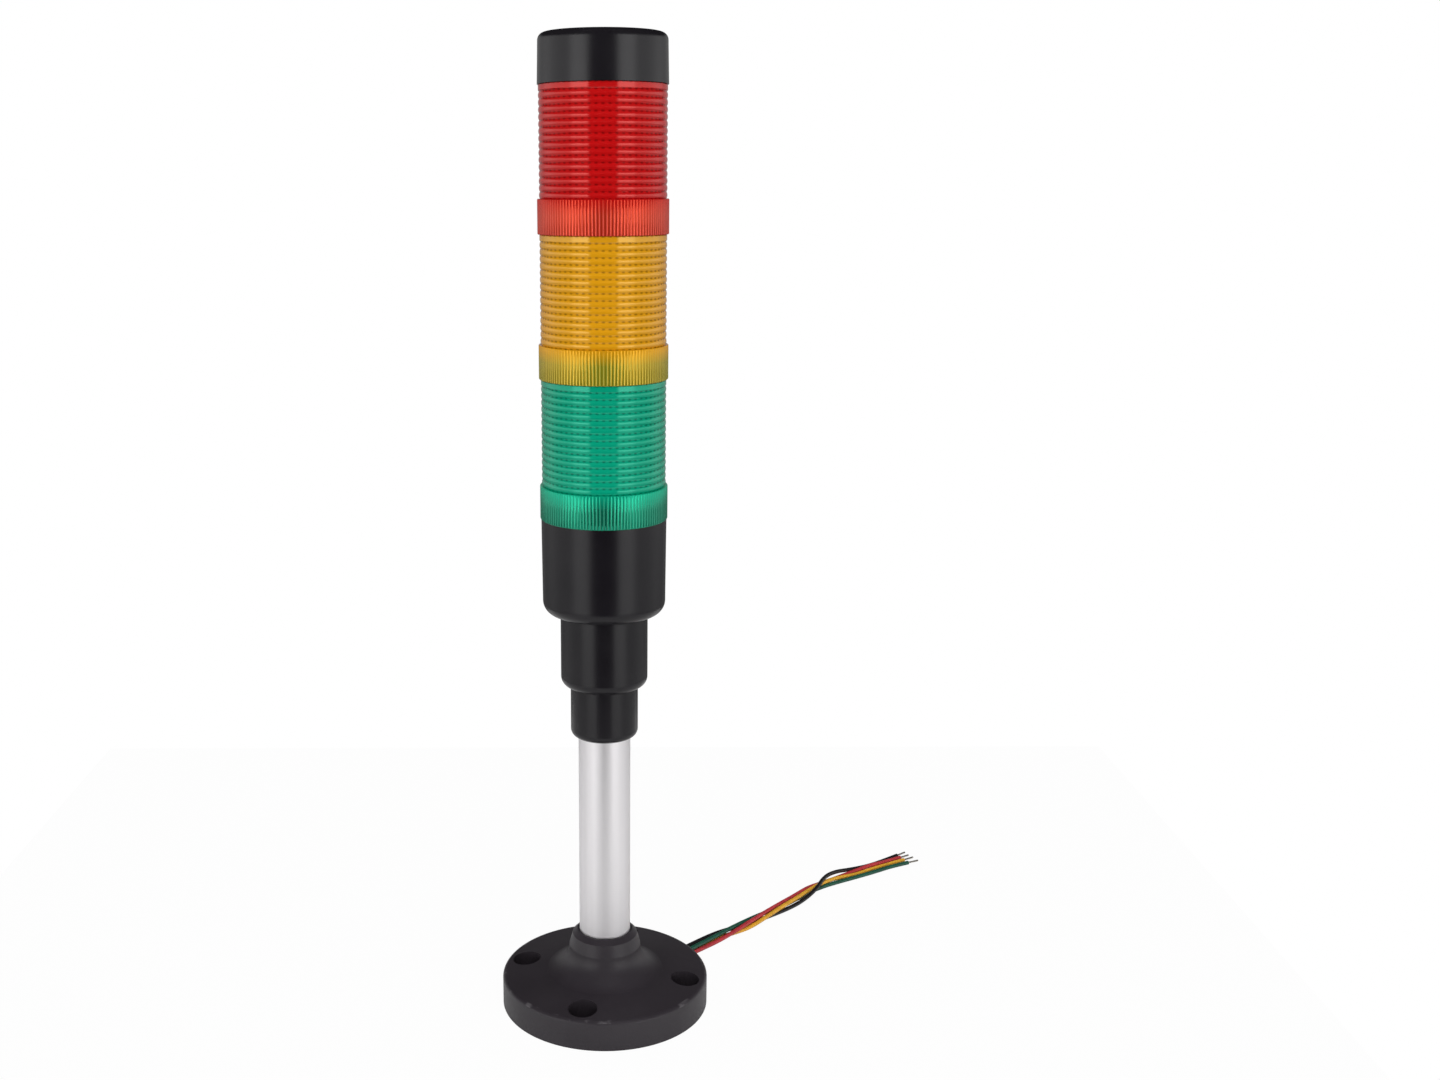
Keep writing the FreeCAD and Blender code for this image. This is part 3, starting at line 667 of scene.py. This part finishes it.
# %% Satin black plastic
satin, satin_shader = plain_finish("satin_black", (0.0065, 0.0055, 0.0075), 0.25, Specular_IOR_Level=0.36)
drift_colour(satin, satin_shader, noise(satin, scale=40), (0.0055, 0.0045, 0.0065), (0.0085, 0.0075, 0.0095))
drift_roughness(satin, satin_shader, noise(satin, scale=90), 0.22, 0.29)
relief(satin, satin_shader, noise(satin, scale=2500), depth=0.00002)
for name in ("base_housing", "top_cap"):
    finish_node(name, satin)

# %% [markdown]
# The foot is a tougher glass-filled nylon. It is matt and a little lighter than the housing.
# Faint pale marks lie on the rim's edge, partly scuffs left by handling and partly a painted
# highlight where the edge catches the light: a coarse noise shows only where the distance from
# the axis and the height are both those of that edge.

# %% Matt foot
matt, matt_shader = plain_finish("matt_nylon", (0.028, 0.0240, 0.0290), 0.42, Specular_IOR_Level=0.4)
EDGE_R = 41.6
EDGE_Z = 11.6
EDGE_REACH = 0.9  # half the width of the band of wear and painted highlight, outwards and upwards
tree = matt.node_tree
place = tree.nodes.new("ShaderNodeTexCoord")
split = tree.nodes.new("ShaderNodeSeparateXYZ")
tree.links.new(place.outputs["Object"], split.inputs["Vector"])
across = maths(matt, "MULTIPLY", split.outputs["X"], split.outputs["X"])
radius = maths(matt, "SQRT", maths(matt, "MULTIPLY_ADD", split.outputs["Y"], split.outputs["Y"], across))
at_rim = maths(matt, "COMPARE", radius, EDGE_R * MM, EDGE_REACH * MM)
at_top = maths(matt, "COMPARE", split.outputs["Z"], EDGE_Z * MM, EDGE_REACH * MM)
rubbed_and_glint = ramp(matt, noise(matt, scale=150, detail=5.0), 0.57, 0.66, (0, 0, 0), (1, 1, 1))
scuff_and_glint = maths(matt, "MULTIPLY", maths(matt, "MULTIPLY", at_rim, at_top), rubbed_and_glint)
skin = ramp(matt, noise(matt, scale=30), 0.3, 0.7, (0.024, 0.0200, 0.0245), (0.033, 0.0280, 0.0335))
wear_and_glint = tree.nodes.new("ShaderNodeMix")
wear_and_glint.data_type = "RGBA"
# pale colour of the marks: partly wear, partly a painted highlight on the edge
wear_and_glint.inputs["B"].default_value = (0.085, 0.078, 0.085, 1.0)
tree.links.new(scuff_and_glint, wear_and_glint.inputs["Factor"])
tree.links.new(skin, wear_and_glint.inputs["A"])
tree.links.new(wear_and_glint.outputs["Result"], matt_shader.inputs["Base Color"])
drift_roughness(matt, matt_shader, noise(matt, scale=70), 0.36, 0.48)
relief(matt, matt_shader, noise(matt, scale=1800), depth=0.00004)
finish_node("mounting_foot", matt)

# %% [markdown]
# The pole is drawn aluminium tube with a satin anodised skin. The drawing leaves long faint streaks
# along the tube: a noise stretched along its length.

# %% Anodised tube
anodised, anodised_shader = plain_finish("anodised", (0.88, 0.86, 0.875), 0.46, metallic=1.0)
streaks = noise(anodised, scale=420, stretch=(1, 1, 0.01))
drift_colour(anodised, anodised_shader, streaks, (0.86, 0.84, 0.855), (0.90, 0.88, 0.895))
drift_roughness(anodised, anodised_shader, streaks, 0.43, 0.50)
finish_node("pole_tube", anodised)

# %% [markdown]
# Small and hidden pieces: blackened steel screws, white boards, yellowish light packages and brass
# studs. They show only dimly through the lenses, or when a module is turned and lifted off.

# %% Small pieces
steel, steel_shader = plain_finish("dark_steel", (0.20, 0.20, 0.21), 0.35, metallic=1.0)
drift_roughness(steel, steel_shader, noise(steel, scale=800), 0.28, 0.5)
for name in ("pole_set_screws", "board_screws"):
    finish_node(name, steel)

board, board_shader = plain_finish("white_board", (0.62, 0.63, 0.60), 0.4)
drift_colour(board, board_shader, noise(board, scale=120), (0.56, 0.57, 0.54), (0.66, 0.67, 0.64))
finish_node("terminal_board", board)

phosphor, phosphor_shader = plain_finish("light_package", (0.80, 0.74, 0.46), 0.25)
drift_colour(phosphor, phosphor_shader, noise(phosphor, scale=500), (0.74, 0.66, 0.36), (0.84, 0.80, 0.56))

plate, plate_shader = plain_finish("black_plate", (0.022, 0.022, 0.022), 0.5)
drift_roughness(plate, plate_shader, noise(plate, scale=90), 0.42, 0.58)

brass, brass_shader = plain_finish("brass_studs", (0.78, 0.55, 0.24), 0.3, metallic=1.0)
drift_roughness(brass, brass_shader, noise(brass, scale=600), 0.22, 0.42)

for colour_name in BODY_COLOURS:
    finish_node(f"{colour_name}_led_board", board)
    finish_node(f"{colour_name}_top_board", board)
    finish_node(f"{colour_name}_leds", phosphor)
    finish_node(f"{colour_name}_base_plate", plate)
    finish_node(f"{colour_name}_contacts", brass)

# %% [markdown]
# ## Table, background and light
# A pale table in a white room. Round glossy bodies are described by what they mirror, so the room
# is drawn first: two broad bright panels left and right of the front, with a dark gap between them
# that gives every body its dark middle. Four soft lamps then fill in plain light from the front,
# the back and above. They don't show in reflections, so they never spoil the panels' shapes.

# %% Table
floor_mesh = bpy.data.meshes.new("table_top")
HALF = 0.3
GLOW = 0.96  # how much of the table the camera sees as plain white
corners = [(-HALF, -HALF, 0), (HALF, -HALF, 0), (HALF, HALF, 0), (-HALF, HALF, 0)]
floor_mesh.from_pydata(corners, [], [(0, 1, 2, 3)])
table_top = bpy.data.objects.new("table_top", floor_mesh)
bpy.context.scene.collection.objects.link(table_top)

paper, paper_shader = plain_finish("pale_paper", (0.92, 0.92, 0.92), 0.8)
paper_tree = paper.node_tree
path = paper_tree.nodes.new("ShaderNodeLightPath")
glow = paper_tree.nodes.new("ShaderNodeEmission")
mix = paper_tree.nodes.new("ShaderNodeMixShader")
glow_share = maths(paper, "MULTIPLY", path.outputs["Is Camera Ray"], GLOW)
paper_tree.links.new(glow_share, mix.inputs["Fac"])
paper_tree.links.new(paper_shader.outputs["BSDF"], mix.inputs[1])
paper_tree.links.new(glow.outputs["Emission"], mix.inputs[2])
paper_tree.links.new(mix.outputs["Shader"], paper_tree.nodes["Material Output"].inputs["Surface"])
floor_mesh.materials.append(paper)

# %% [markdown]
# The room's brightness depends only on the direction: one ramp goes round from the front to the
# back, another goes from the floor up, and the two are multiplied. The camera and clear plastic
# see plain white instead, which keeps the background clean.


# %% World
def grey_levels(owner, source, stops):
    """Turns a 0 to 1 value into a grey level. Each stop is a place from 0 to 1 and a level."""
    node = owner.node_tree.nodes.new("ShaderNodeValToRGB")
    elements = node.color_ramp.elements
    elements.remove(elements[1])
    elements[0].position = stops[0][0]
    elements[0].color = (stops[0][1], stops[0][1], stops[0][1], 1.0)
    for position, level in stops[1:]:
        stop = elements.new(position)
        stop.color = (level, level, level, 1.0)
    owner.node_tree.links.new(source, node.inputs["Fac"])
    return node.outputs["Color"]


# Round the room: degrees from the front and a level.
ROOM = [
    (0.0, 0.02), (24.0, 0.02), (28.0, 2.6), (54.0, 2.6),
    (62.0, 1.2), (110.0, 1.1), (135.0, 0.4), (180.0, 0.3),
]
# Up the room: how far up a direction points, from -1 to 1, and a level.
RISE = [(-0.55, 0.05), (-0.45, 0.42), (-0.22, 0.42), (-0.14, 1.0), (0.20, 1.0), (0.30, 0.05)]
SEEN_THROUGH = 0.9  # what clear plastic sees

world = bpy.data.worlds.new("studio")
bpy.context.scene.world = world
world.use_nodes = True
tree = world.node_tree
background = tree.nodes["Background"]
background.inputs["Color"].default_value = (1.0, 1.0, 1.0, 1.0)
place = tree.nodes.new("ShaderNodeTexCoord")
split = tree.nodes.new("ShaderNodeSeparateXYZ")
seen = tree.nodes.new("ShaderNodeLightPath")
tree.links.new(place.outputs["Generated"], split.inputs["Vector"])

forward = maths(world, "MULTIPLY", split.outputs["Y"], -1.0)
turn = maths(world, "ARCTAN2", split.outputs["X"], forward)
from_front = maths(world, "DIVIDE", maths(world, "ABSOLUTE", turn), math.pi)
round_level = grey_levels(world, from_front, [(degrees / 180.0, level) for degrees, level in ROOM])
upward = maths(world, "MULTIPLY_ADD", split.outputs["Z"], 0.5, 0.5)
up_level = grey_levels(world, upward, [(0.5 + 0.5 * rise, level) for rise, level in RISE])
panels = maths(world, "MULTIPLY", round_level, up_level)
brighter = maths(world, "MAXIMUM", panels, seen.outputs["Is Camera Ray"])
through = maths(world, "MULTIPLY", seen.outputs["Is Transmission Ray"], SEEN_THROUGH)
brightest = maths(world, "MAXIMUM", through, brighter)
tree.links.new(brightest, background.inputs["Strength"])


# %% Lamps
LAMP_SIDE = 0.9
AIM = Vector((0, 0, 0.2))


def soft_lamp(name, azimuth, height, distance, power):
    """A square fill panel that faces the pole. Azimuth 0 is in front, positive to the right."""
    data = bpy.data.lights.new(name, "AREA")
    data.shape = "RECTANGLE"
    data.size = LAMP_SIDE
    data.size_y = LAMP_SIDE
    data.energy = power
    lamp = bpy.data.objects.new(name, data)
    angle = math.radians(azimuth)
    lamp.location = (distance * math.sin(angle), -distance * math.cos(angle), height)
    towards = AIM - lamp.location
    lamp.rotation_mode = "QUATERNION"
    lamp.rotation_quaternion = towards.to_track_quat("-Z", "Y")
    lamp.visible_glossy = False
    lamp.visible_transmission = False
    bpy.context.scene.collection.objects.link(lamp)


soft_lamp("top_fill", azimuth=0, height=1.4, distance=0.35, power=9.0)
soft_lamp("front_fill", azimuth=0, height=0.6, distance=1.2, power=7.0)
soft_lamp("left_fill", azimuth=-130, height=0.6, distance=1.2, power=4.0)
soft_lamp("right_fill", azimuth=130, height=0.6, distance=1.2, power=4.0)

# %% Picture settings
bpy.context.scene.view_settings.view_transform = "Standard"
